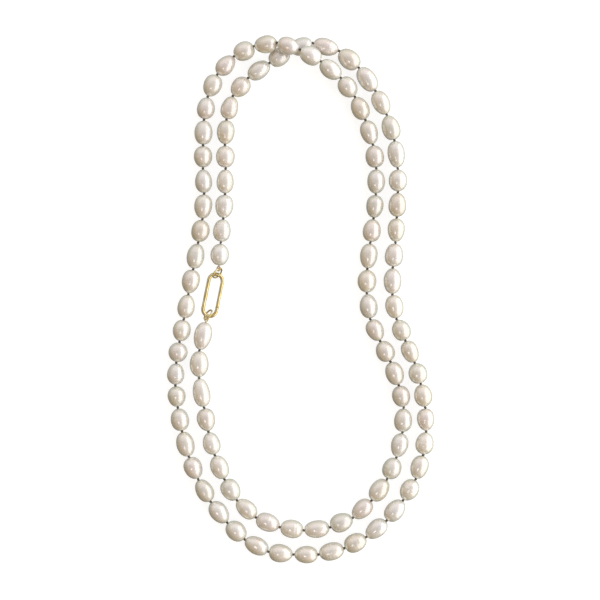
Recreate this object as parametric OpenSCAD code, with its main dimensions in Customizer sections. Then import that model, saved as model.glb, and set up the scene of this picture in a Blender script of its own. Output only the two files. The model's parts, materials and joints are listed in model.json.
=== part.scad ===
// Long knotted pearl necklace, laid doubled on a flat surface.
// The surface is z = 0.  The rope runs in two nested loops that cross once at
// the top.  The rope can fold upward along five straight fold lines, and every
// fold line passes through a knot, or the lower clasp loop, of all four strands.

/* [Pearls] */
// Greatest girth of a pearl, across its drill hole
pearl_girth = 8.1; // [7:0.1:8.1]
// How much slimmer the slimmest pearl is, as a share of the girth
girth_spread = 0.07; // [0:0.01:0.12]
// How much the pearls differ in length, as a share of the length
length_spread = 0.05; // [0:0.01:0.08]
// How far the most drop-like pearl tapers, as a share of the girth
drop_taper = 0.1; // [0:0.01:0.15]
// How blunt the pearl ends are: 1 is an ellipse, less is blunter
end_power = 0.9; // [0.8:0.05:1]
// Diameter of the drill hole
drill_d = 0.8; // [0.7:0.05:0.9]

/* [Silk] */
// Diameter of the silk thread
silk_d = 0.45; // [0.3:0.05:0.5]
// Diameter of the knot between two pearls
knot_d = 1; // [0.9:0.1:1.3]

/* [Clasp link] */
// Length of the oval link over its wire
link_length = 19.4; // [18:0.2:20]
// Width of the oval link over its wire
link_width = 7.2; // [6.8:0.1:7.6]
// Diameter of the link wire
link_wire = 1.5; // [1.2:0.1:1.6]
// Lean of the link from the Y axis, in degrees
link_lean = 11.5; // [9:0.5:14]

/* [Clasp gate] */
// Diameter of the gate rod
gate_d = 1.4; // [1.1:0.1:1.5]
// Diameter of the hinge pin
hinge_pin_d = 0.44; // [0.3:0.02:0.5]
// Thickness of the gate tongue between the hinge cheeks
tongue_t = 0.54; // [0.4:0.02:0.6]
// Length of the lap where the gate meets the nose of the link
lap_length = 0.9; // [0.6:0.1:1.2]

/* [Rings and loops] */
// Diameter of a jump ring, to the middle of its wire
ring_d = 4.6; // [4.4:0.1:4.8]
// Diameter of the jump ring wire
ring_wire = 0.7; // [0.5:0.05:0.8]
// Diameter of a bullion loop, to the middle of its wire
loop_d = 1.8; // [1.7:0.1:1.9]
// Diameter of the bullion wire
loop_wire = 0.6; // [0.5:0.05:0.6]

/* [Hidden] */
$fn = 48;
fit_gap = 0.05;
// Height of the rope's axis, at which the fattest pearl rests on the surface.
axis_z = 3.98;

// The five fold lines run parallel to X at these Y values.
fold_1 = -75;
fold_2 = -45;
fold_3 = -8;
fold_4 = 24;
fold_5 = 55;

// The rope's route over the surface: x, y and lift above the usual height.
// First turn: clasp, inner left, bottom, inner right, over the top, outer left.
FIRST_TURN = [
    [-39.5, fold_3, 0], [-43, -26, 0], [-40.5, fold_2, 0], [-37.5, -60, 0],
    [-32, fold_1, 0], [-23, -88, 0], [-9, -95, 0], [7.5, -96, 0], [22.5, -90.5, 0],
    [36, fold_1, 0], [41.5, -60, 0], [43, fold_2, 0], [37.5, -26, 0],
    [29, fold_3, 0], [27.5, 8, 0], [29, fold_4, 0], [31, 40, 0],
    [31.5, fold_5, 0], [28.5, 71, 0], [20, 89, 0.4], [8, 99.5, 4.6],
    [-0.5, 104, 7.2], [-10, 107, 5.4], [-19.5, 106, 1.5], [-32, 98.5, 0],
    [-39.5, 83, 0], [-41, fold_5, 0]
];
// Second turn: outer left, bottom, outer right, under the top, inner left, clasp.
SECOND_TURN = [
    [-40.5, 40, 0], [-43, fold_4, 0], [-49, fold_3, 0], [-52.5, -30, 0],
    [-51.5, fold_2, 0], [-48, -62, 0], [-43, fold_1, 0], [-34, -89.5, 0],
    [-18.5, -103.5, 0], [-2, -106.5, 0], [15, -105, 0], [33.5, -94.5, 0],
    [48, fold_1, 0], [52, -59, 0], [52, fold_2, 0], [47.5, -26, 0],
    [40, fold_3, 0], [38, 7, 0], [39.5, fold_4, 0], [40.5, fold_5, 0],
    [37.5, 73, 0], [28, 92.5, 0], [15.5, 104.5, 0], [5, 107.5, 0],
    [-5.5, 104, 0], [-14, 98.5, 0], [-27, 88, 0], [-31.5, 73, 0],
    [-31.5, fold_5, 0], [-32, 40, 0], [-33.5, fold_4, 0], [-34.4, 13.1, 0]
];
ROUTE = [for (p = concat(FIRST_TURN, SECOND_TURN)) [p.x, p.y, axis_z + p.z]];
LAST_POINT = len(ROUTE) - 1;

// Stretches of the rope in order: name, number of pearls, route point it ends at.
STRETCHES = [
    ["inner_left_2", 3, 2], ["inner_left_1", 3, 4], ["inner_bottom", 8, 9],
    ["inner_right_1", 3, 11], ["inner_right_2", 4, 13], ["inner_right_3", 3, 15],
    ["inner_right_4", 3, 17], ["top_over_right", 6, 21], ["top_over_left", 8, 26],
    ["outer_left_4", 3, 28], ["outer_left_3", 3, 29], ["outer_left_2", 4, 31],
    ["outer_left_1", 3, 33], ["outer_bottom", 11, 39], ["outer_right_1", 3, 41],
    ["outer_right_2", 4, 43], ["outer_right_3", 3, 45], ["outer_right_4", 3, 46],
    ["top_under_right", 6, 50], ["top_under_left", 7, 55],
    ["inner_left_4", 3, 57], ["clasp_side", 1, 58]
];
LAST_STRETCH = len(STRETCHES) - 1;

PEARL_NODES = [for (row = STRETCHES) str("pearls_", row[0])];
SILK_NODES = [for (row = STRETCHES) str("silk_", row[0])];
CLASP_NODES = [
    "clasp_link", "clasp_gate", "gate_pin", "gate_spring",
    "upper_jump_ring", "lower_jump_ring", "upper_bullion", "lower_bullion"
];

// ---- the route as a smooth curve ----

// Direction of the rope at route point i, from its two neighbours.
function route_direction(i) =
    let (
        here = ROUTE[i],
        before = ROUTE[max(i - 1, 0)],
        after = ROUTE[min(i + 1, LAST_POINT)]
    )
    (after - before) / (norm(after - here) + norm(here - before));

// Point of the curve at t, which is i at route point i.
function route_point(t) =
    let (
        i = min(floor(t), LAST_POINT - 1),
        f = t - i,
        chord = norm(ROUTE[i + 1] - ROUTE[i])
    )
    ROUTE[i] * (1 + 2 * f) * pow(1 - f, 2)
    + ROUTE[i + 1] * (3 - 2 * f) * pow(f, 2)
    + route_direction(i) * chord * f * pow(1 - f, 2)
    - route_direction(i + 1) * chord * pow(f, 2) * (1 - f);

// Length along the curve against t, in small steps.
steps_per_point = 10;
TRACK = [
    for (
        k = 0, length = 0;
        k <= LAST_POINT * steps_per_point;
        length = length + norm(route_point((k + 1) / steps_per_point)
                               - route_point(k / steps_per_point)),
        k = k + 1
    )
    [length, k / steps_per_point]
];

function length_at_point(i) = TRACK[i * steps_per_point][0];
function point_at_length(length) = route_point(lookup(length, TRACK));

// ---- pearls and knots along a stretch ----

// From the middle of a knot to the tips of the pearls beside it.
knot_gap = knot_d / 2 + fit_gap;
// From the middle of a knot to the end of each thread run that it holds.
knot_hold = 0.2;
// Where the flat ends of a knot begin, in degrees from its own axis.
knot_face_angle = 40;
// From the middle of a bullion loop to the tip of the end pearl, past a short neck.
neck_length = 0.2;
loop_reach = (loop_d + loop_wire) / 2 + neck_length;

// A repeatable value from -1 to 1 that differs from pearl to pearl.
golden_angle = 137.5;
girth_turn = 40;
taper_turn = 80;
function vary(k, turn) = sin(k * golden_angle + turn);

function sum(values) = [for (v = values) 1] * values;
function first_pearl(s) = sum([for (j = [0:1:s]) j < s ? STRETCHES[j][1] : 1]);
function share(k) = 1 + length_spread * vary(k, 0);

// Length along the rope where stretch s begins and ends.
function stretch_start(s) =
    s == 0 ? loop_reach - knot_gap : length_at_point(STRETCHES[s - 1][2]);
function stretch_end(s) =
    length_at_point(STRETCHES[s][2]) - (s == LAST_STRETCH ? loop_reach - knot_gap : 0);

// The knot places of stretch s: one more than its pearls.
function knot_places(s) =
    let (
        first = first_pearl(s),
        count = STRETCHES[s][1],
        shares = [for (k = [0:count - 1]) share(first + k)],
        scale_to_fit = (stretch_end(s) - stretch_start(s)) / sum(shares)
    )
    [
        for (k = [0:count])
        point_at_length(
            stretch_start(s)
            + scale_to_fit * (k == 0 ? 0 : sum([for (j = [0:k - 1]) shares[j]]))
        )
    ];

function unit(v) = v / norm(v);

// Turns a child that stands on Z so that it points along run.
module aim(run) {
    rotate([0, acos(unit(run).z), atan2(run.y, run.x)])
        children();
}

// Places a child that stands on Z so that it runs from one point to another.
module along(from, to) {
    translate(from)
        aim(to - from)
            children();
}

// One drilled pearl standing on the origin, turned about its drill hole.
// Its greatest girth differs a little from pearl to pearl, and so does its taper.
module pearl(k, length) {
    radius = pearl_girth / 2 * (1 - girth_spread * (1 + vary(k, girth_turn)) / 2);
    taper = drop_taper * vary(k, taper_turn);
    drill_r = drill_d / 2;
    step = 12;
    outline = [
        for (a = [step:step:180 - step])
        [
            radius * pow(sin(a), end_power) * (1 - taper * cos(a)) / (1 + abs(taper) / 2),
            length / 2 * (1 - cos(a))
        ]
    ];
    rotate_extrude()
        polygon(concat([[drill_r, 0]], outline, [[drill_r, length]]));
}

module pearl_stretch(s) {
    places = knot_places(s);
    first = first_pearl(s);
    color([0.94, 0.91, 0.87])
        for (k = [0:STRETCHES[s][1] - 1])
            along(places[k], places[k + 1])
                translate([0, 0, knot_gap])
                    pearl(first + k, norm(places[k + 1] - places[k]) - 2 * knot_gap);
}

// A knot along Z: a ball with flat ends, where the thread runs in.
module knot() {
    arc_steps = 4;
    outline = [
        for (i = [0:arc_steps])
        let (a = knot_face_angle + i * (180 - 2 * knot_face_angle) / arc_steps)
        [sin(a), cos(a)] * knot_d / 2
    ];
    rotate_extrude()
        polygon(concat([[0, outline[0].y]], outline, [[0, outline[arc_steps].y]]));
}

// Thread through each pearl of the stretch, and the knot after it.
// It starts clear of the knot or bullion that belongs to the stretch before it.
module silk_stretch(s) {
    places = knot_places(s);
    count = STRETCHES[s][1];
    color([0.42, 0.38, 0.3]) {
        for (k = [0:count - 1]) {
            at_rope_tip = s == LAST_STRETCH && k == count - 1;
            lead_in = k == 0 ? knot_gap : knot_hold;
            lead_out = at_rope_tip ? knot_gap : knot_hold;
            length = norm(places[k + 1] - places[k]) - lead_in - lead_out;
            along(places[k], places[k + 1])
                translate([0, 0, lead_in])
                    cylinder(d = silk_d, h = length);
            // the knot lies along the mean of the two runs that it joins
            after = places[min(k + 2, count)] - places[min(k + 1, count - 1)];
            if (!at_rope_tip)
                translate(places[k + 1])
                    aim(unit(places[k + 1] - places[k]) + unit(after))
                        knot();
        }
        if (s == 0)
            at_lower_loop()
                thread_loop();
        if (s == LAST_STRETCH)
            at_upper_loop()
                thread_loop();
    }
}

// The thinner thread inside a bullion loop, joined to the thread in the pearl.
module thread_loop() {
    loop_and_neck(thread_end_d);
    translate([loop_reach - silk_d, 0, 0])
        rotate([0, 90, 0])
            cylinder(d = thread_end_d, h = 2 * silk_d);
}

// ---- clasp ----

link_r = link_wire / 2;
// Half the straight run and the bend radius of the link, at mid wire.
link_bend = link_width / 2 - link_r;
link_straight = link_length / 2 - link_width / 2;
// Middle of the link: the wire of each end lies inside a jump ring.
link_center = [-37, 2, 2.15];
// The gate fills the right side between its hinge and its lap, which stand
// in from the ends of the straight run.
hinge_inset = 0.9;
lap_inset = 0.2;
hinge_y = hinge_inset - link_straight;
lap_end = link_straight - lap_inset;
// Round end of the gate tongue, inside the slot of the link.
tongue_d = 1.1;
pin_length = link_wire - 2 * fit_gap;
// Straight spring wire in the channel of the gate.
spring_d = 0.24;
spring_from_hinge = 1.2;
spring_from_tip = 2;
spring_from = hinge_y + spring_from_hinge;
spring_to = lap_end - spring_from_tip;

// Slope of both jump rings from the bullion loops down to the link.
ring_fall = 36;
// Tilt of each ring about its own length, and roll of each loop about its neck.
upper_ring_tilt = -55;
lower_ring_tilt = -60;
upper_loop_roll = -40;
lower_loop_roll = -40;
// Heading of each ring from its bullion loop, in degrees from the X axis.
upper_ring_heading = -108;
lower_ring_heading = 72;
// Bore of the bullion, and the thinner thread that fills it.
thread_bore = 0.3;
thread_end_d = 0.26;

gold = [0.86, 0.72, 0.38];

// Places a child drawn with +Y along the link and +X to its right.
module on_link() {
    translate(link_center)
        rotate([0, 0, -link_lean])
            children();
}

// Half a ring of wire, bulging to +Y.
module wire_bend(radius, wire) {
    rotate_extrude(angle = 180)
        translate([radius, 0])
            circle(d = wire);
}

module wire_run(x, from_y, to_y, wire) {
    translate([x, from_y, 0])
        rotate([-90, 0, 0])
            cylinder(d = wire, h = to_y - from_y);
}

// Where the gate tip and the nose of the link lap: side 1 is the outer half of
// the wire, side -1 the inner half.
module lap_half(side, from_x, from_y, to_y) {
    translate([from_x - (side > 0 ? 0 : link_wire), from_y, -link_wire])
        cube([link_wire, to_y - from_y, 2 * link_wire]);
}

module clasp_link() {
    lap_start = lap_end - lap_length;
    color(gold) on_link() difference() {
        union() {
            translate([0, link_straight, 0])
                wire_bend(link_bend, link_wire);
            translate([0, -link_straight, 0])
                rotate([0, 0, 180])
                    wire_bend(link_bend, link_wire);
            wire_run(-link_bend, -link_straight, link_straight, link_wire);
            wire_run(link_bend, -link_straight, hinge_y, link_wire);
            translate([link_bend, hinge_y, 0])
                sphere(d = link_wire);
            wire_run(link_bend, lap_start, link_straight, link_wire);
        }
        // slot for the gate tongue
        translate([link_bend - link_wire, hinge_y - link_r + fit_gap, -tongue_t / 2 - fit_gap])
            cube([2 * link_wire, link_wire, tongue_t + 2 * fit_gap]);
        // hole for the hinge pin
        translate([link_bend, hinge_y, -link_wire])
            cylinder(d = hinge_pin_d, h = 2 * link_wire);
        // room for the gate tip in the lap
        lap_half(-1, link_bend, lap_start - fit_gap, lap_end + fit_gap);
    }
}

module clasp_gate() {
    lap_start = lap_end - lap_length;
    color(gold) on_link() difference() {
        union() {
            wire_run(link_bend, hinge_y, lap_end, gate_d);
            translate([link_bend, hinge_y, -tongue_t / 2])
                cylinder(d = tongue_d, h = tongue_t);
        }
        // room for the two hinge cheeks
        for (low = [tongue_t / 2, -tongue_t / 2 - link_wire])
            translate([link_bend, hinge_y, low])
                cylinder(r = link_r + fit_gap, h = link_wire);
        // running hole for the hinge pin
        translate([link_bend, hinge_y, -link_wire])
            cylinder(d = hinge_pin_d + fit_gap, h = 2 * link_wire);
        // room for the nose of the link in the lap
        lap_half(1, link_bend - fit_gap, lap_start - fit_gap, lap_end + fit_gap);
        // channel for the spring wire
        wire_run(link_bend, spring_from, spring_to, spring_d + fit_gap);
    }
}

module gate_pin() {
    color(gold) on_link()
        translate([link_bend, hinge_y, -pin_length / 2])
            cylinder(d = hinge_pin_d, h = pin_length);
}

module gate_spring() {
    color("silver") on_link()
        wire_run(link_bend, spring_from + fit_gap, spring_to - fit_gap, spring_d);
}

// ---- jump rings and bullion loops ----

// A jump ring that starts at its end in the bullion loop.  It runs off along
// heading, falls towards the link and is tilted about its own length.
module jump_ring(start, heading, tilt) {
    color(gold)
        translate(start)
            rotate([0, 0, heading])
                rotate([0, ring_fall, 0])
                    translate([ring_d / 2, 0, 0])
                        rotate([tilt, 0, 0])
                            rotate_extrude()
                                translate([ring_d / 2, 0])
                                    circle(d = ring_wire);
}

module upper_jump_ring() {
    jump_ring(ROUTE[LAST_POINT], upper_ring_heading, upper_ring_tilt);
}

module lower_jump_ring() {
    jump_ring(ROUTE[0], lower_ring_heading, lower_ring_tilt);
}

// A closed loop with a straight neck to the drill hole of the end pearl.
module loop_and_neck(wire) {
    rotate_extrude()
        translate([loop_d / 2, 0])
            circle(d = wire);
    translate([loop_d / 2, 0, 0])
        rotate([0, 90, 0])
            cylinder(d = wire, h = loop_reach - fit_gap - loop_d / 2);
}

// Places a loop drawn with its neck on +X at an end of the rope.
module at_rope_end(loop_point, pearl_point, roll) {
    run = pearl_point - loop_point;
    translate(loop_point)
        rotate([0, 0, atan2(run.y, run.x)])
            rotate([roll, 0, 0])
                children();
}

module at_lower_loop() {
    at_rope_end(ROUTE[0], knot_places(0)[0], lower_loop_roll)
        children();
}

module at_upper_loop() {
    at_rope_end(ROUTE[LAST_POINT], knot_places(LAST_STRETCH)[1], upper_loop_roll)
        children();
}

// Bullion: fine coiled wire drawn over the thread where it passes a ring.
module bullion() {
    color(gold)
        difference() {
            loop_and_neck(loop_wire);
            loop_and_neck(thread_bore);
            // opens the neck towards the pearl
            translate([loop_reach - 2 * fit_gap, 0, 0])
                rotate([0, 90, 0])
                    cylinder(d = thread_bore, h = loop_wire);
        }
}

module upper_bullion() {
    at_upper_loop()
        bullion();
}

module lower_bullion() {
    at_lower_loop()
        bullion();
}

// ---- the nodes ----

for (s = [0:LAST_STRETCH]) {
    pearl_stretch(s);
    silk_stretch(s);
}
clasp_link();
clasp_gate();
gate_pin();
gate_spring();
upper_jump_ring();
lower_jump_ring();
upper_bullion();
lower_bullion();
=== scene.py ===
"""The looks of a long knotted pearl necklace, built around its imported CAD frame.

Every pearl, the silk with its knots, the bullion loops and the jump rings are
rebuilt as detailed meshes where their CAD solids lie.  The clasp's link, gate,
pin and spring keep their CAD shape.  Lengths are in metres and angles in
radians, unless a name says otherwise.
"""

import json
import math

import bpy
import numpy as np
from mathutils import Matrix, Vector

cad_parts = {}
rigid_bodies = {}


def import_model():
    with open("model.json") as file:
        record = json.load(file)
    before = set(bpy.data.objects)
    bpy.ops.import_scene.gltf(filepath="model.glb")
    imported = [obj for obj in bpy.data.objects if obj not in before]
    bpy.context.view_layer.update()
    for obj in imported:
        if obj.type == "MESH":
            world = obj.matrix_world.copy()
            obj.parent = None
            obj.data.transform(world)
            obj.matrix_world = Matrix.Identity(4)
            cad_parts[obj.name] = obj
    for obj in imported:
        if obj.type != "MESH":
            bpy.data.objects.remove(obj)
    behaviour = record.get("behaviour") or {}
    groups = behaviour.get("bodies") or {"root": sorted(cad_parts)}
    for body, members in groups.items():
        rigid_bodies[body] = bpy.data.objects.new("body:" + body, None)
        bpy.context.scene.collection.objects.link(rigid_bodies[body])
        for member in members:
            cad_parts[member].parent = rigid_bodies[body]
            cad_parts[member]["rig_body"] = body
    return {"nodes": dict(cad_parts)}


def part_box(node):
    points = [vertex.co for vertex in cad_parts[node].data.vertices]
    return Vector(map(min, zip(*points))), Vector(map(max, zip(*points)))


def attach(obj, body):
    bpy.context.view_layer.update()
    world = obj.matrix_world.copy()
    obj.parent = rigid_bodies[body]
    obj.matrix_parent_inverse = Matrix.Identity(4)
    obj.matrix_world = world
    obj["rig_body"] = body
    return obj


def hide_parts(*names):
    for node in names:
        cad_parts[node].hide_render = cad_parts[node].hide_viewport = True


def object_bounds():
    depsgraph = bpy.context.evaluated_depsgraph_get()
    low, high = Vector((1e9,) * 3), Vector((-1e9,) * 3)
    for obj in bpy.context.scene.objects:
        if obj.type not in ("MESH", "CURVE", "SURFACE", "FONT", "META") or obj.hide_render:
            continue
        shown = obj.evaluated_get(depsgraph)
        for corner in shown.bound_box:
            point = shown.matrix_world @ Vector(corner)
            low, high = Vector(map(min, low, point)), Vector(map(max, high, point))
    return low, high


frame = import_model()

cad_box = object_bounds()

MM = 0.001
TURN = 2 * math.pi
SEED = 95

# The stretches of the rope, in order from the lower end of the clasp.
STRETCHES = [
    "inner_left_2", "inner_left_1", "inner_bottom", "inner_right_1", "inner_right_2",
    "inner_right_3", "inner_right_4", "top_over_right", "top_over_left", "outer_left_4",
    "outer_left_3", "outer_left_2", "outer_left_1", "outer_bottom", "outer_right_1",
    "outer_right_2", "outer_right_3", "outer_right_4", "top_under_right", "top_under_left",
    "inner_left_4", "clasp_side",
]


# ---- reading the CAD solids ----

# vertices that are closer than this are one
WELD = 0.001 * MM


def positions(obj):
    """Vertex positions of an object's mesh, one row each."""
    co = np.zeros(len(obj.data.vertices) * 3)
    obj.data.vertices.foreach_get("co", co)
    return co.reshape(-1, 3)


def solids(obj):
    """The distinct vertex positions of each separate solid of a CAD node."""
    co = positions(obj)
    _, first, same = np.unique(
        np.round(co / WELD).astype(np.int64), axis=0, return_index=True, return_inverse=True
    )
    same = same.ravel()
    ends = np.zeros(len(obj.data.edges) * 2, int)
    obj.data.edges.foreach_get("vertices", ends)
    a, b = same[ends].reshape(-1, 2).T
    # each vertex takes the lowest label that its edges lead to, until none changes
    label = np.arange(len(first))
    while True:
        low = np.minimum(label[a], label[b])
        new = label.copy()
        np.minimum.at(new, a, low)
        np.minimum.at(new, b, low)
        new = new[new]
        if (new == label).all():
            break
        label = new
    return [co[first[label == value]] for value in np.unique(label)]


def principal(points):
    """The three directions of least, middle and greatest spread, and the spreads."""
    spread, directions = np.linalg.eigh(np.cov((points - points.mean(0)).T))
    return directions.T, spread


def extent(points, direction):
    """Lowest and highest reach of the points along a direction."""
    reach = points @ np.asarray(direction)
    return reach.min(), reach.max()


def unit(v):
    return np.asarray(v) / np.linalg.norm(v)


def across(axis):
    """Two directions that complete a frame around an axis."""
    nearly_upright = abs(axis[2]) >= 0.9
    side = unit(np.cross(axis, (1.0, 0.0, 0.0) if nearly_upright else (0.0, 0.0, 1.0)))
    return side, np.cross(axis, side)


# ---- meshes ----

def make_piece(name, vertices, faces, material, body):
    """A smooth mesh object that rides on a body and takes its finish from a slot."""
    mesh = bpy.data.meshes.new(name)
    mesh.from_pydata([tuple(v) for v in vertices], [], faces)
    mesh.polygons.foreach_set("use_smooth", [True] * len(mesh.polygons))
    mesh.update()
    obj = bpy.data.objects.new(name, mesh)
    bpy.context.scene.collection.objects.link(obj)
    obj.data.materials.append(material)
    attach(obj, body)
    return obj


def grid_faces(rows, columns, closed_rows=False, offset=0):
    """Quads of a grid whose columns close on themselves, and its rows if asked."""
    faces = []
    for i in range(rows if closed_rows else rows - 1):
        here = offset + i * columns
        there = offset + (i + 1) % rows * columns
        for j in range(columns):
            k = (j + 1) % columns
            faces.append((here + j, here + k, there + k, there + j))
    return faces


def travelled(path):
    """Distance along a path from its start to each of its points."""
    steps = np.linalg.norm(np.diff(path, axis=0), axis=1)
    return np.concatenate([[0.0], np.cumsum(steps)])


def frames_along(path):
    """Two directions across the path at each point, carried along without twist."""
    tangents = np.gradient(path, axis=0)
    tangents /= np.linalg.norm(tangents, axis=1)[:, None]
    side, _ = across(tangents[0])
    sides = []
    for tangent in tangents:
        side = unit(side - tangent * (side @ tangent))
        sides.append(side)
    return np.array(sides), np.cross(tangents, sides)


def wound(path, radius, pitch, steps):
    """A helix of that pitch round a path, with so many steps to a turn."""
    lengths = travelled(path)
    places = np.linspace(0, lengths[-1], int(lengths[-1] / pitch * steps))
    centre = np.stack([np.interp(places, lengths, path[:, k]) for k in range(3)], -1)
    sides, others = frames_along(centre)
    turn = (TURN * places / pitch)[:, None]
    return centre + radius * (np.cos(turn) * sides + np.sin(turn) * others)


class Builder:
    """Gathers tubes into one mesh."""

    def __init__(self):
        self.vertices = []
        self.faces = []

    def tube(self, path, radius, sides, plies=0, ply_depth=0.0, ply_pitch=1.0):
        """Sweeps a ring along a path.  With plies, its outline is lobed and twists."""
        angles = TURN * np.arange(sides) / sides
        twist = (TURN * travelled(path) / ply_pitch)[:, None]
        lobes = ply_depth * np.cos(plies * angles - twist)
        radii = np.broadcast_to(radius, len(path))[:, None] * (1 + lobes)
        side, other = frames_along(path)
        rings = (
            path[:, None]
            + (radii * np.cos(angles))[..., None] * side[:, None]
            + (radii * np.sin(angles))[..., None] * other[:, None]
        )
        start = len(self.vertices)
        last_ring = start + (len(path) - 1) * sides
        self.vertices.extend(rings.reshape(-1, 3))
        self.faces.extend(grid_faces(len(path), sides, offset=start))
        self.faces.append(tuple(start + j for j in reversed(range(sides))))
        self.faces.append(tuple(last_ring + j for j in range(sides)))


def smooth_field(directions, rng, terms, low, high):
    """A soft random field from about -1 to 1 over unit directions.

    It sums cosine waves, with between low and high radians to one unit length.
    """
    usual_peak = 1.4
    total = np.zeros(directions.shape[:-1])
    for _ in range(terms):
        wave = unit(rng.normal(size=3)) * rng.uniform(low, high)
        total += np.cos(directions @ wave + rng.uniform(0, TURN))
    return total / math.sqrt(terms) / usual_peak


# ---- materials ----

# a noise texture seldom leaves this range
NOISE_LOW = 0.3
NOISE_HIGH = 0.7

CLOUD_COOL = (0.93, 0.945, 0.93)
CLOUD_WARM = (1.0, 0.975, 0.965)
SILK_DARK = (0.075, 0.06, 0.036)
SILK_LIGHT = (0.21, 0.18, 0.12)
GOLD_DEEP = (0.62, 0.485, 0.2)
GOLD_PALE = (0.83, 0.71, 0.4)


def new_material(name):
    material = bpy.data.materials.new(name)
    material.use_nodes = True
    nodes = material.node_tree.nodes
    nodes.clear()
    output = nodes.new("ShaderNodeOutputMaterial")
    shader = nodes.new("ShaderNodeBsdfPrincipled")
    material.node_tree.links.new(shader.outputs["BSDF"], output.inputs["Surface"])
    return material, shader


def add(material, kind, **settings):
    """A new node of a kind, with its properties and, by name, its input values."""
    node = material.node_tree.nodes.new(kind)
    for key, value in settings.items():
        if hasattr(node, key):
            setattr(node, key, value)
        else:
            node.inputs[key.replace("_", " ").title()].default_value = value
    return node


def link(material, out, into):
    material.node_tree.links.new(out, into)


def set_inputs(shader, values):
    for key, value in values.items():
        shader.inputs[key].default_value = value


def object_place(material):
    """The output that gives each point's place in its object."""
    return add(material, "ShaderNodeTexCoord").outputs["Object"]


def noise(material, place, scale, detail):
    """A noise output over a place."""
    node = add(material, "ShaderNodeTexNoise", scale=scale, detail=detail)
    link(material, place, node.inputs["Vector"])
    return node.outputs["Fac"]


def two_tone(material, value, low_at, low, high_at, high):
    """A colour output that runs from low to high as a value goes between two marks."""
    node = add(material, "ShaderNodeValToRGB")
    stops = node.color_ramp.elements
    for stop, at, colour in zip(stops, (low_at, high_at), (low, high)):
        stop.position = at
        stop.color = (*colour, 1.0)
    link(material, value, node.inputs["Fac"])
    return node.outputs["Color"]


def roughened(material, shader, value, low, high):
    """Lets a noise carry the shader's roughness from low to high."""
    node = add(
        material, "ShaderNodeMapRange",
        from_min=NOISE_LOW, from_max=NOISE_HIGH, to_min=low, to_max=high,
    )
    link(material, value, node.inputs["Value"])
    link(material, node.outputs["Result"], shader.inputs["Roughness"])


def bumped(material, shader, height, strength, distance, under=None):
    """Raises the surface by a height, over an earlier bump if one is given."""
    node = add(material, "ShaderNodeBump", strength=strength, distance=distance)
    link(material, height, node.inputs["Height"])
    if under is not None:
        link(material, under, node.inputs["Normal"])
    link(material, node.outputs["Normal"], shader.inputs["Normal"])
    return node.outputs["Normal"]


def nacre_material():
    """Freshwater nacre: creamy body colour, satin depth and a clear lustre."""
    material, shader = new_material("nacre")
    set_inputs(shader, {
        "Metallic": 0.2,
        "IOR": 1.65,
        "Subsurface Weight": 0.1,
        "Subsurface Radius": (1.0, 0.75, 0.55),
        "Subsurface Scale": 0.5 * MM,
        "Coat Weight": 1.0,
        "Coat Roughness": 0.08,
        "Coat IOR": 2.2,
        "Coat Tint": (0.96, 0.955, 0.93, 1.0),
        "Thin Film Thickness": 440.0,
        "Thin Film IOR": 1.5,
    })
    # each pearl's own place and tint are attributes of its mesh
    in_pearl = add(material, "ShaderNodeAttribute", attribute_name="place_in_pearl")
    place = in_pearl.outputs["Vector"]
    tint = add(material, "ShaderNodeAttribute", attribute_name="tint")
    clouds = noise(material, place, scale=260.0, detail=3.0)
    shade = add(material, "ShaderNodeMix", data_type="RGBA", blend_type="MULTIPLY")
    shade.inputs["Factor"].default_value = 1.0
    link(material, tint.outputs["Color"], shade.inputs["A"])
    clouded = two_tone(material, clouds, 0.32, CLOUD_COOL, 0.68, CLOUD_WARM)
    link(material, clouded, shade.inputs["B"])
    link(material, shade.outputs["Result"], shader.inputs["Base Color"])
    satin = noise(material, place, scale=700.0, detail=4.0)
    roughened(material, shader, satin, 0.19, 0.31)
    # faint growth terraces round the drill axis, and a fine orange-peel grain
    growth = add(
        material, "ShaderNodeTexWave", wave_type="BANDS", bands_direction="Z",
        scale=420.0, distortion=5.0, detail=2.0, detail_scale=0.6,
    )
    link(material, place, growth.inputs["Vector"])
    grain = noise(material, place, scale=2600.0, detail=3.0)
    terraces = bumped(
        material, shader, growth.outputs["Fac"], strength=0.05, distance=0.06 * MM
    )
    bumped(material, shader, grain, strength=0.05, distance=0.05 * MM, under=terraces)
    return material


def silk_material():
    """Dark olive silk, knotted tight: fine twisted filaments with a low sheen."""
    material, shader = new_material("silk")
    set_inputs(shader, {
        "Sheen Weight": 0.35,
        "Sheen Roughness": 0.4,
        "Sheen Tint": (0.75, 0.7, 0.55, 1.0),
        "Specular IOR Level": 0.35,
    })
    fibre = noise(material, object_place(material), scale=5200.0, detail=4.0)
    colour = two_tone(material, fibre, 0.3, SILK_DARK, 0.72, SILK_LIGHT)
    link(material, colour, shader.inputs["Base Color"])
    roughened(material, shader, fibre, 0.6, 0.8)
    bumped(material, shader, fibre, strength=0.4, distance=0.03 * MM)
    return material


def gold_material(name, polish):
    """Yellow gold, polished by hand: soft waviness, hairlines and worn brighter spots."""
    material, shader = new_material(name)
    shader.inputs["Metallic"].default_value = 1.0
    place = object_place(material)
    wear = noise(material, place, scale=420.0, detail=5.0)
    colour = two_tone(material, wear, 0.3, GOLD_DEEP, 0.7, GOLD_PALE)
    link(material, colour, shader.inputs["Base Color"])
    roughened(material, shader, wear, polish, polish + 0.08)
    # the hairlines are a noise drawn out along Y
    drawn_out = add(material, "ShaderNodeMapping", scale=(1.0, 0.12, 1.0))
    link(material, place, drawn_out.inputs["Vector"])
    scratches = noise(material, drawn_out.outputs["Vector"], scale=3800.0, detail=3.0)
    waves = bumped(material, shader, wear, strength=0.05, distance=0.04 * MM)
    bumped(material, shader, scratches, strength=0.06, distance=0.02 * MM, under=waves)
    return material


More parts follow.
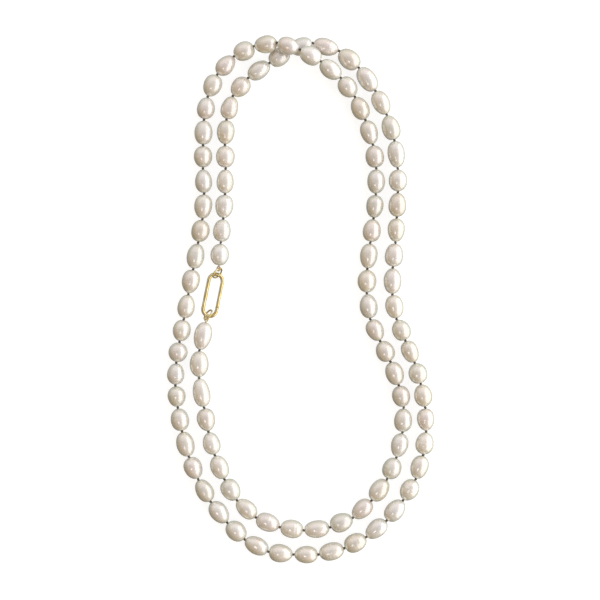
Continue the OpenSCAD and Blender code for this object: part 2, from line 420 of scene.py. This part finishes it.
def steel_material():
    """Drawn spring wire."""
    material, shader = new_material("spring_steel")
    set_inputs(shader, {"Metallic": 1.0, "Base Color": (0.5, 0.5, 0.5, 1.0)})
    drawn = noise(material, object_place(material), scale=2500.0, detail=2.0)
    roughened(material, shader, drawn, 0.25, 0.4)
    bumped(material, shader, drawn, strength=0.1, distance=0.02 * MM)
    return material


def board_material():
    """A matt white board that glows a little, so that it stays pale."""
    material, shader = new_material("white_board")
    set_inputs(shader, {
        "Base Color": (0.42, 0.42, 0.42, 1.0),
        "Emission Color": (1.0, 1.0, 1.0, 1.0),
        "Emission Strength": 0.78,
        "Specular IOR Level": 0.1,
    })
    tooth = noise(material, object_place(material), scale=900.0, detail=2.0)
    roughened(material, shader, tooth, 0.75, 0.9)
    return material


# ---- pearls ----

# The girth of a pearl falls towards its tips as a power of the sine of the
# angle from the tip.  This is the CAD's power; a smaller one is blunter.
CAD_POWER = 0.9
TIP_POWERS = (0.79, 0.92)
# one tip of each pearl is more pointed by one of these
POINTED_BY = (0.0, 0.1, 0.22)

# how much nearer a knot the skin comes than the CAD solid, and how much where
# the rope folds, so that the two pearls have room to tip towards each other
KNOT_REACH = 0.22 * MM
FOLD_REACH = 0.12 * MM

# a CAD vertex further from the axis than this is on the skin, in bore radii
CLEAR_OF_BORE = 1.3

SKIN_ROWS = 46
SKIN_COLUMNS = 48
# where the skin ends at the drill hole, and the softening of its rim, in bore radii
RIM = 1.22
FILLET = 0.35
FILLET_WIDENS = 1.06

# how far the skin strays from the outline, as shares of the radius
LOPSIDED = (0.0, 0.02)
FLATTENED = (0.0, 0.02)
LUMP_DEPTH = (0.012, 0.032)
LUMP_RANGE = (-0.7, 1.6)
RIPPLE_DEPTH = (0.001, 0.004)
RING_DEPTH = (0.008, 0.02)
PIT_DEPTH = (0.006, 0.018)

# how many growth rings a pearl has, one entry drawn at random, and where, how
# wide and how wavy they are, in half lengths
RING_COUNTS = (0, 0, 1, 2, 3)
RING_PLACE = (-0.75, 0.75)
RING_WIDTH = (0.03, 0.07)
RING_SWAY = 0.06

# pits: from 1 up to, not including, the second number, and their size
PIT_COUNT = (1, 5)
PIT_SIZE = (0.0012, 0.006)

# body colours, and how often each is drawn
PALETTE = np.array([
    (0.89, 0.85, 0.79),     # cream
    (0.89, 0.875, 0.85),    # silvery white
    (0.87, 0.80, 0.765),    # pale rose
    (0.85, 0.79, 0.695),    # warm beige
    (0.80, 0.79, 0.725),    # grey with a green cast
])
PALETTE_SHARES = (0.38, 0.22, 0.16, 0.14, 0.10)
# the second tint's usual share of the skin, and how far that goes up and down
SECOND_TINT = 0.35
SECOND_TINT_SWING = 0.45
BRIGHTNESS = (0.95, 1.02)
# painted shade: where the skin lies further in than HOLLOW_FROM its colour darkens at this
# rate, standing in for the shade in its hollows, until it is HOLLOW_SPAN further in still
HOLLOW_FROM = 0.02
HOLLOW_SPAN = 0.08
HOLLOW_PAINTED_SHADE = 2.2
# the bore's colour is the main tint darkened by this share, a painted shade inside the drill
# hole
BORE_PAINTED_SHADE = 0.8


class Pearl:
    """One pearl's place: centre, drill axis along the rope, half length and outline."""

    def __init__(self, points, body, node, stretch):
        directions, spread = principal(points)
        # two spreads are alike, and the third is the one along the drill hole
        odd_one = 2 if spread[1] - spread[0] < spread[2] - spread[1] else 0
        self.axis = directions[odd_one]
        low, high = extent(points, self.axis)
        middle = points.mean(0)
        self.centre = middle + self.axis * ((low + high) / 2 - middle @ self.axis)
        self.half = (high - low) / 2
        self.points = points
        self.body = body
        self.node = node
        self.stretch = stretch
        self.reach = [0.0, 0.0]

    def tip(self, sign):
        return self.centre + self.axis * self.half * sign

    def face_from(self, here):
        """Turns the axis so that it leads away from a point."""
        if np.linalg.norm(self.tip(1) - here) < np.linalg.norm(self.tip(-1) - here):
            self.axis = -self.axis

    def fit_outline(self):
        """Radius of the bore, and girth and taper of the outline."""
        off = self.points - self.centre
        along = off @ self.axis
        radial = np.linalg.norm(off - np.outer(along, self.axis), axis=1)
        self.bore = radial.min()
        skin = radial > CLEAR_OF_BORE * self.bore
        angle = np.arccos(np.clip(-along[skin] / self.half, -1, 1))
        ratio = radial[skin] / np.sin(angle) ** CAD_POWER
        slope, middle = np.polyfit(np.cos(angle), ratio, 1)
        self.outline = (middle, slope)

    def radius_at(self, angle, powers):
        """Radius at an angle from the near tip, for the powers of the two ends."""
        middle, slope = self.outline
        near = (1 + np.cos(angle)) / 2
        power = powers[0] * near + powers[1] * (1 - near)
        return (middle + slope * np.cos(angle)) * np.sin(angle) ** power


def rope_pearls():
    """All the pearls in rope order, each facing along the rope."""
    here = np.mean(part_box("lower_bullion"), axis=0)
    rope = []
    for stretch in STRETCHES:
        node = frame["nodes"]["pearls_" + stretch]
        left = [Pearl(points, node["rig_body"], node.name, stretch) for points in solids(node)]
        while left:
            left.sort(key=lambda pearl: np.linalg.norm(pearl.centre - here))
            pearl = left.pop(0)
            pearl.face_from(here)
            pearl.fit_outline()
            here = pearl.tip(1)
            rope.append(pearl)
    for pearl, after in zip(rope, rope[1:]):
        pearl.reach[1] = after.reach[0] = KNOT_REACH if pearl.body == after.body else FOLD_REACH
    return rope


def skin_angles(pearl, powers):
    """Angles of the rows of the skin from the near tip, from one rim to the other."""
    # fine steps over the tip, well past any rim
    close_by = np.linspace(0.001, 0.6, 2000)
    rim = RIM * pearl.bore
    near = np.interp(rim, pearl.radius_at(close_by, powers), close_by)
    far = np.interp(rim, pearl.radius_at(math.pi - close_by, powers), close_by)
    return np.linspace(near, math.pi - far, SKIN_ROWS)[:, None]


def skin_loss(angle, around, direction, rng):
    """How far the skin lies under the outline, as a share of the radius."""
    # the tips keep their shape
    body = np.clip(np.sin(angle) / 0.5, 0, 1) ** 2
    lean_to, flat_to = rng.uniform(0, TURN, 2)
    lopsided = rng.uniform(*LOPSIDED)
    flattened = rng.uniform(*FLATTENED)
    loss = -lopsided * np.cos(around - lean_to) * np.sin(angle) * body
    loss = loss + flattened * np.cos(2 * (around - flat_to)) * body
    lumps = smooth_field(direction, rng, terms=7, low=1.6, high=4.2)
    loss += rng.uniform(*LUMP_DEPTH) * np.clip(lumps, *LUMP_RANGE) * body
    ripples = smooth_field(direction, rng, terms=9, low=7.0, high=13.0)
    loss += rng.uniform(*RIPPLE_DEPTH) * (1 + ripples) / 2 * body
    for _ in range(rng.choice(RING_COUNTS)):
        ring_at = rng.uniform(*RING_PLACE)
        width = rng.uniform(*RING_WIDTH)
        sway = RING_SWAY * np.cos(around - rng.uniform(0, TURN))
        depth = rng.uniform(*RING_DEPTH)
        loss += depth * np.exp(-(((-np.cos(angle) - ring_at - sway) / width) ** 2))
    for _ in range(rng.integers(*PIT_COUNT)):
        # fewer pits near the tips
        spot = unit(rng.normal(size=3) * (1, 1, 0.6))
        size = rng.uniform(*PIT_SIZE)
        loss += rng.uniform(*PIT_DEPTH) * np.exp(-(1 - direction @ spot) / size) * body
    return loss


def skin_tint(direction, loss, rng):
    """The skin's colours: two tints that drift into each other, darkened as painted shade
    where the skin dips in, and the bore's colour, darkened as painted shade.
    """
    main, other = PALETTE[rng.choice(len(PALETTE), 2, p=PALETTE_SHARES)]
    swing = smooth_field(direction, rng, terms=5, low=1.0, high=3.0)
    drift = np.clip(SECOND_TINT + SECOND_TINT_SWING * swing, 0, 1)[..., None]
    tint = main * (1 - drift) + other * drift
    tint = tint * rng.uniform(*BRIGHTNESS)
    # painted shade: the colour darkens where the skin dips in, in place of the shade in its
    # hollows
    painted_shade_depth = np.clip(loss - HOLLOW_FROM, 0, HOLLOW_SPAN)
    # painted shade: the bore's colour is the main tint darkened, in place of the shade inside
    # the drill hole
    return tint * (1 - HOLLOW_PAINTED_SHADE * painted_shade_depth)[..., None], BORE_PAINTED_SHADE * main


def pearl_mesh(pearl, rng):
    """Vertices, faces and vertex colours of one baroque pearl in its own frame."""
    powers = rng.uniform(*TIP_POWERS, 2)
    powers[rng.integers(2)] += rng.choice(POINTED_BY)
    angle = skin_angles(pearl, powers)
    around = (TURN * np.arange(SKIN_COLUMNS) / SKIN_COLUMNS)[None, :]
    level = -np.cos(angle) * np.ones_like(around)
    direction = np.stack([
        np.sin(angle) * np.cos(around), np.sin(angle) * np.sin(around), level
    ], -1)
    loss = skin_loss(angle, around, direction, rng)
    radius = pearl.radius_at(angle, powers) * (1 - loss)
    half = pearl.half + np.where(level < 0, *pearl.reach)
    height = half * level
    skin = np.stack([radius * np.cos(around), radius * np.sin(around), height], -1)

    # the bore, from the far end back to the near one, with a softened rim
    bore = pearl.bore
    fillet = FILLET * bore
    upper, lower = height[-1, 0], height[0, 0]
    bore_rows = [
        (FILLET_WIDENS * bore, upper - 0.3 * fillet), (bore, upper - fillet),
        (bore, 0.5 * upper), (bore, 0.5 * lower),
        (bore, lower + fillet), (FILLET_WIDENS * bore, lower + 0.3 * fillet),
    ]
    ring = np.stack([np.cos(around[0]), np.sin(around[0]), np.zeros(SKIN_COLUMNS)], -1)
    inner = [ring * r + np.array((0, 0, z)) for r, z in bore_rows]
    vertices = np.concatenate([skin, np.array(inner)]).reshape(-1, 3)
    faces = grid_faces(SKIN_ROWS + len(bore_rows), SKIN_COLUMNS, closed_rows=True)

    tint, shaded_bore = skin_tint(direction, loss, rng)
    colours = np.concatenate([
        tint.reshape(-1, 3), np.tile(shaded_bore, (len(bore_rows) * SKIN_COLUMNS, 1))
    ])
    return vertices, faces, colours


def build_pearls(rope, material):
    rng = np.random.default_rng(SEED)
    for number, pearl in enumerate(rope, 1):
        vertices, faces, colours = pearl_mesh(pearl, rng)
        side, other = across(pearl.axis)
        placed = vertices @ np.stack([side, other, pearl.axis]) + pearl.centre
        obj = make_piece(f"pearl_{number:02d}", placed, faces, material, pearl.body)
        tint = obj.data.color_attributes.new("tint", "FLOAT_COLOR", "POINT")
        opaque = np.ones(len(colours))
        tint.data.foreach_set("color", np.c_[np.clip(colours, 0, 1), opaque].ravel())
        place = obj.data.attributes.new("place_in_pearl", "FLOAT_VECTOR", "POINT")
        place.data.foreach_set("vector", vertices.ravel())
        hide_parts(pearl.node)


# ---- silk ----

THREAD_RADIUS = 0.24 * MM
THREAD_SIDES = 8
THREAD_STEPS = 24
# how far a thread reaches before its first CAD pearl, past the middle of its
# last knot, which is just inside the next pearl, and past the rope's last pearl
THREAD_BEFORE = 0.02 * MM
THREAD_PAST_KNOT = 0.51 * MM
THREAD_PAST_END = 0.01 * MM

KNOT_RADIUS = 0.6 * MM
KNOT_STRAND = 0.18 * MM
KNOT_TURNS = 2.3
KNOT_STEPS = 46
# the coil runs from this far before the knot's middle to as far after it, and
# its two ends are narrower by this share
KNOT_RISE = 0.25 * MM
KNOT_DRAWN_IN = 0.25
KNOT_LEAN_DEGREES = (14, 26)


def knot_between(pearl, after):
    """Middle of the knot between two pearls, and the rope's direction there."""
    half_gap = np.linalg.norm(after.tip(-1) - pearl.tip(1)) / 2
    middle = (pearl.tip(1) + pearl.axis * half_gap + after.tip(-1) - after.axis * half_gap) / 2
    return middle, unit(pearl.axis + after.axis)


def add_knot(builder, middle, direction, rng):
    """A small tight knot: the thread wound round itself, aslant, and pulled in."""
    t = np.linspace(0, 1, KNOT_STEPS)
    rise = KNOT_RISE * (2 * t - 1)
    # the coil follows a ball
    out = np.sqrt((KNOT_RADIUS - KNOT_STRAND) ** 2 - rise ** 2)
    out = out * (1 - KNOT_DRAWN_IN * np.abs(2 * t - 1) ** 8)
    turn = TURN * KNOT_TURNS * t + rng.uniform(0, TURN)
    side, other = across(direction)
    lean = math.radians(rng.uniform(*KNOT_LEAN_DEGREES))
    spin = rng.uniform(0, TURN)
    tipped = unit(
        direction + math.tan(lean) * (math.cos(spin) * side + math.sin(spin) * other)
    )
    side, other = across(tipped)
    path = (
        middle
        + np.outer(out * np.cos(turn), side)
        + np.outer(out * np.sin(turn), other)
        + np.outer(rise, tipped)
    )
    builder.tube(path, KNOT_STRAND, THREAD_SIDES, plies=2, ply_depth=0.16, ply_pitch=0.5 * MM)


def silk_for(stretch, rope, material, rng):
    """The thread through a stretch's pearls, and the knot after each of them."""
    builder = Builder()
    mine = [i for i, pearl in enumerate(rope) if pearl.stretch == stretch]
    corners = [rope[mine[0]].tip(-1) - rope[mine[0]].axis * THREAD_BEFORE]
    past = THREAD_PAST_KNOT
    for i in mine:
        if i + 1 < len(rope):
            middle, direction = knot_between(rope[i], rope[i + 1])
            corners.append(middle)
            add_knot(builder, middle, direction, rng)
        else:
            corners.append(rope[i].tip(1))
            past = THREAD_PAST_END
    runs = [
        np.linspace(start, end, THREAD_STEPS, endpoint=False)
        for start, end in zip(corners, corners[1:])
    ]
    ahead = unit(corners[-1] - corners[-2])
    path = np.concatenate([*runs, [corners[-1], corners[-1] + ahead * past]])
    builder.tube(path, THREAD_RADIUS, THREAD_SIDES, plies=2, ply_depth=0.12, ply_pitch=1.1 * MM)
    node = frame["nodes"]["silk_" + stretch]
    obj = make_piece(
        "thread_" + stretch, builder.vertices, builder.faces, material, node["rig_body"]
    )
    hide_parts(node.name)


# ---- bullion loops and jump rings ----

# the coiled wire's radius and pitch: shares of the loop's wire, and of that radius
FINE_WIRE = 0.2
FINE_PITCH = 2.05
FINE_SIDES = 6
CORE_SIDES = 8
RING_SIDES = 20

# half the width of a jump ring's cut, the share of the wire's radius that is
# left at its edges, and where round the ring it lies
RING_CUT = 0.03 * MM
RING_CUT_RADIUS = 0.9
RING_CUT_ANGLES = {"lower_jump_ring": 2.2, "upper_jump_ring": 4.0}


def build_bullion(name, tip, material):
    """Fine wire coiled closely round the thread, bent into a loop with a neck."""
    points = positions(frame["nodes"][name])
    (normal, _, ahead), _ = principal(points)
    if ahead @ (tip - points.mean(0)) < 0:
        ahead = -ahead
    sideways = np.cross(normal, ahead)
    low, high = extent(points, sideways)
    outer = (high - low) / 2
    low_n, high_n = extent(points, normal)
    wire = (high_n - low_n) / 2
    near, far = extent(points, ahead)
    middle = (
        sideways * (low + high) / 2
        + normal * (low_n + high_n) / 2
        + ahead * (near + outer)
    )
    loop_radius = outer - wire
    neck_end = far - (near + outer)
    angles = np.linspace(0, TURN, 120)
    loop = middle + loop_radius * (
        np.outer(np.cos(angles), ahead) + np.outer(np.sin(angles), sideways)
    )
    neck = middle + np.outer(np.linspace(neck_end, loop_radius + 0.1 * wire, 12), ahead)
    fine = FINE_WIRE * wire
    builder = Builder()
    for path in (loop, neck):
        coil = wound(path, wire - fine, FINE_PITCH * fine, steps=14)
        builder.tube(coil, fine, FINE_SIDES)
        builder.tube(path, wire - 2 * fine, CORE_SIDES)
    obj = make_piece(
        name + "_coil", builder.vertices, builder.faces, material,
        frame["nodes"][name]["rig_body"],
    )
    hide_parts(name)


def build_jump_ring(name, material):
    """A round wire ring, sawn through and closed: the cut shows as a fine line."""
    points = positions(frame["nodes"][name])
    (normal, _, _), _ = principal(points)
    middle = points.mean(0)
    low, high = extent(points, normal)
    wire = (high - low) / 2
    middle = middle + normal * ((low + high) / 2 - middle @ normal)
    radius = np.linalg.norm(points - middle, axis=1).max() - wire
    side, other = across(normal)
    cut = RING_CUT / radius
    cut_at = RING_CUT_ANGLES[name]
    angles = np.linspace(cut_at + cut, cut_at + TURN - cut, 160)
    path = middle + radius * (np.outer(np.cos(angles), side) + np.outer(np.sin(angles), other))
    radii = np.full(len(angles), wire)
    radii[[0, -1]] = wire * RING_CUT_RADIUS
    builder = Builder()
    builder.tube(path, radii, RING_SIDES)
    obj = make_piece(
        name + "_wire", builder.vertices, builder.faces, material,
        frame["nodes"][name]["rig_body"],
    )
    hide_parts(name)


def dress_cad_node(name, material):
    """Gives a CAD node that keeps its shape its material."""
    obj = frame["nodes"][name]
    obj.data.materials.clear()
    obj.data.materials.append(material)


# ---- stage ----

FLOOR_HALF = 3.0
FLOOR_DROP = 0.02 * MM

# the dome's colour by height, from 0 straight down to 1 straight up
DOME_STRENGTH = 1.1
DOME = [
    (0.28, (0.42, 0.42, 0.39)),
    (0.5, (0.68, 0.675, 0.65)),     # the horizon
    (0.75, (1.05, 1.03, 1.035)),
    (0.9, (0.85, 0.84, 0.845)),     # round the camera
    (1.0, (0.42, 0.41, 0.41)),
]
# the side of the dome away from the window is darker and warmer
CORNER_TOWARDS = (-0.65, -0.75, 0.1)
CORNER_FROM = -0.1
CORNER_FULL = 0.85
CORNER_TINT = (0.34, 0.25, 0.12, 1.0)

# the width that the camera takes in, and how far its middle is from the necklace's
VIEW_WIDTH = 0.252
VIEW_OFFSET = (-0.34 * MM, -0.05 * MM)


def build_floor():
    """A plain pale floor, far wider than the necklace."""
    mesh = bpy.data.meshes.new("floor")
    corners = [(-1, -1), (1, -1), (1, 1), (-1, 1)]
    mesh.from_pydata(
        [(x * FLOOR_HALF, y * FLOOR_HALF, -FLOOR_DROP) for x, y in corners], [], [(0, 1, 2, 3)]
    )
    floor = bpy.data.objects.new("floor", mesh)
    bpy.context.scene.collection.objects.link(floor)
    mesh.materials.append(board_material())
    # the dome and the window light stand in for the light that the floor throws back
    floor.visible_glossy = False
    floor.visible_diffuse = False
    floor.visible_shadow = False


def area_light(name, place, target, width, height, power, colour=(1, 1, 1)):
    data = bpy.data.lights.new(name, "AREA")
    data.shape = "RECTANGLE"
    data.size = width
    data.size_y = height
    data.energy = power
    data.color = colour
    light = bpy.data.objects.new(name, data)
    bpy.context.scene.collection.objects.link(light)
    light.location = place
    light.rotation_euler = (Vector(target) - Vector(place)).to_track_quat("-Z", "Y").to_euler()
    light.visible_camera = False


def build_lights():
    """A large window-like light at the right and a small one overhead."""
    area_light(
        "window_light", place=(0.75, 0.0, 0.45), target=(0, 0, 0.45),
        width=2.4, height=1.5, power=10.0, colour=(0.97, 0.985, 1.0),
    )
    area_light(
        "small_light", place=(-0.25, -0.4, 0.9), target=(0, 0, 0),
        width=0.24, height=0.3, power=0.45,
    )


def build_dome():
    """A soft light from all round, shaded by height and darker at one corner."""
    world = bpy.data.worlds.new("studio")
    bpy.context.scene.world = world
    world.use_nodes = True
    world.node_tree.nodes.clear()
    output = add(world, "ShaderNodeOutputWorld")
    sky = add(world, "ShaderNodeBackground", strength=DOME_STRENGTH)
    place = add(world, "ShaderNodeTexCoord").outputs["Generated"]
    split = add(world, "ShaderNodeSeparateXYZ")
    link(world, place, split.inputs["Vector"])
    height = add(world, "ShaderNodeMapRange", from_min=-1.0)
    link(world, split.outputs["Z"], height.inputs["Value"])
    ramp = add(world, "ShaderNodeValToRGB")
    stops = ramp.color_ramp.elements
    stops[0].position = DOME[0][0]
    stops[1].position = DOME[-1][0]
    for at, _ in DOME[1:-1]:
        stops.new(at)
    for stop, (_, colour) in zip(stops, DOME):
        stop.color = (*colour, 1.0)
    link(world, height.outputs["Result"], ramp.inputs["Fac"])
    away = add(world, "ShaderNodeVectorMath", operation="DOT_PRODUCT")
    away.inputs[1].default_value = CORNER_TOWARDS
    link(world, place, away.inputs[0])
    corner = add(world, "ShaderNodeMapRange", from_min=CORNER_FROM, from_max=CORNER_FULL)
    link(world, away.outputs["Value"], corner.inputs["Value"])
    shade = add(world, "ShaderNodeMix", data_type="RGBA", blend_type="MULTIPLY")
    shade.inputs["B"].default_value = CORNER_TINT
    link(world, corner.outputs["Result"], shade.inputs["Factor"])
    link(world, ramp.outputs["Color"], shade.inputs["A"])
    link(world, shade.outputs["Result"], sky.inputs["Color"])
    link(world, sky.outputs["Background"], output.inputs["Surface"])


def build_camera():
    """Straight above the necklace, with a long lens."""
    low, high = cad_box
    data = bpy.data.cameras.new("camera")
    data.lens = 135
    data.sensor_width = 36
    data.clip_start = 0.05
    data.clip_end = 20
    camera = bpy.data.objects.new("camera", data)
    bpy.context.scene.collection.objects.link(camera)
    camera.location = (
        (low.x + high.x) / 2 + VIEW_OFFSET[0],
        (low.y + high.y) / 2 + VIEW_OFFSET[1],
        VIEW_WIDTH / 2 / (data.sensor_width / 2 / data.lens),
    )
    bpy.context.scene.camera = camera


def main():
    bpy.context.scene.view_settings.view_transform = "Standard"
    build_camera()
    build_lights()
    build_dome()
    build_floor()

    rope = rope_pearls()
    build_pearls(rope, nacre_material())
    silk = silk_material()
    rng = np.random.default_rng(SEED + 1)
    for stretch in STRETCHES:
        silk_for(stretch, rope, silk, rng)

    gold = gold_material("gold", polish=0.05)
    coil_gold = gold_material("bullion_gold", polish=0.12)
    build_bullion("lower_bullion", rope[0].tip(-1), coil_gold)
    build_bullion("upper_bullion", rope[-1].tip(1), coil_gold)
    build_jump_ring("lower_jump_ring", gold)
    build_jump_ring("upper_jump_ring", gold)
    for name in ("clasp_link", "clasp_gate", "gate_pin"):
        dress_cad_node(name, gold)
    dress_cad_node("gate_spring", steel_material())


main()
